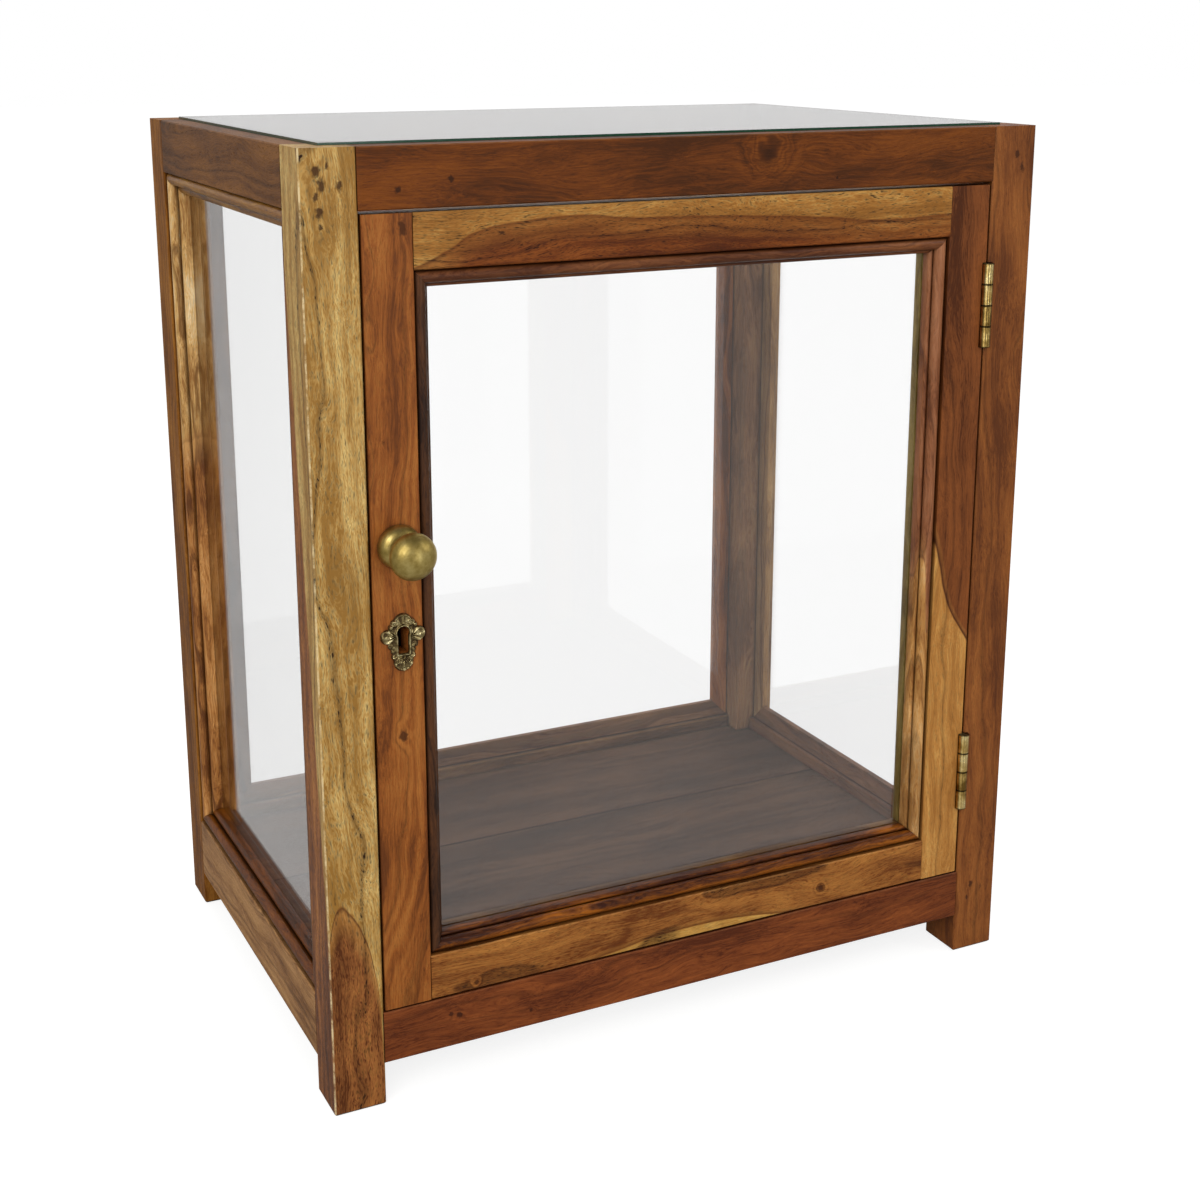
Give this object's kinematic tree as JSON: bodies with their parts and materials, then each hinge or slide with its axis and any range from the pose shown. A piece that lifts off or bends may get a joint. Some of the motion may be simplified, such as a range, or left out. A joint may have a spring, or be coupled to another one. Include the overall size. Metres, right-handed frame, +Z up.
{
  "type": "glazed display cabinet",
  "caption": "Small wooden showcase with glass on every side and on top, one framed glass door, brass butt hinges, a turned knob and a keyhole with a lock.",
  "frame": {"origin": "on the floor under the middle of the whole outline, with the knob counted in the depth", "axes": "+Z up, +Y from the door to the back, +X to the right when the door is faced, so the hinges are at +X and the knob at -X"},
  "size_m": [0.51, 0.387, 0.6015],
  "materials": {
    "post_wood": "satin",
    "rail_wood": "satin",
    "floor_wood": "satin",
    "door_wood": "satin",
    "moulding_wood": "satin",
    "clear_glass": "polished",
    "hinge_brass": "satin",
    "knob_brass": "satin",
    "plate_brass": "antique",
    "lock_brass": "satin",
    "lock_steel": "blackened"
  },
  "bodies": {
    "cabinet": {"post_front_left": "post_wood", "post_front_right": "post_wood", "post_back_left": "post_wood", "post_back_right": "post_wood", "top_rail_front": "rail_wood", "top_rail_back": "rail_wood", "top_rail_left": "rail_wood", "top_rail_right": "rail_wood", "bottom_rail_front": "rail_wood", "bottom_rail_back": "rail_wood", "bottom_rail_left": "rail_wood", "bottom_rail_right": "rail_wood", "floor_board_front": "floor_wood", "floor_board_back": "floor_wood", "floor_cleats": "floor_wood", "door_stop": "floor_wood", "moulding_left": "moulding_wood", "moulding_right": "moulding_wood", "moulding_back": "moulding_wood", "glass_top": "clear_glass", "glass_left": "clear_glass", "glass_right": "clear_glass", "glass_back": "clear_glass", "hinge_upper_post_leaf": "hinge_brass", "hinge_upper_pin": "hinge_brass", "hinge_lower_post_leaf": "hinge_brass", "hinge_lower_pin": "hinge_brass", "hinge_post_screws": "hinge_brass", "strike_plate": "lock_brass", "strike_screws": "lock_brass"},
    "door": {"door_stile_left": "door_wood", "door_stile_right": "door_wood", "door_rail_top": "door_wood", "door_rail_bottom": "door_wood", "door_glass": "clear_glass", "door_moulding": "moulding_wood", "door_bead": "moulding_wood", "hinge_upper_door_leaf": "hinge_brass", "hinge_lower_door_leaf": "hinge_brass", "hinge_door_screws": "hinge_brass", "knob_head": "knob_brass", "knob_rose": "knob_brass", "knob_screw": "knob_brass", "keyhole_plate": "plate_brass", "keyhole_plate_pins": "plate_brass", "lock_case": "lock_steel", "lock_cover": "lock_brass", "lock_screws": "lock_brass"},
    "bolt": {"lock_bolt": "lock_brass"}
  },
  "joints": [
    {"name": "door_hinge", "type": "hinge", "parent": "cabinet", "child": "door", "pos_m": [0.22025, -0.1603, 0.314], "axis": [0, 0, 1], "range_deg": [0, 170]},
    {"name": "bolt_slide", "type": "slide", "parent": "door", "child": "bolt", "axis": [-1, 0, 0], "range_m": [0, 0.007]}
  ]
}
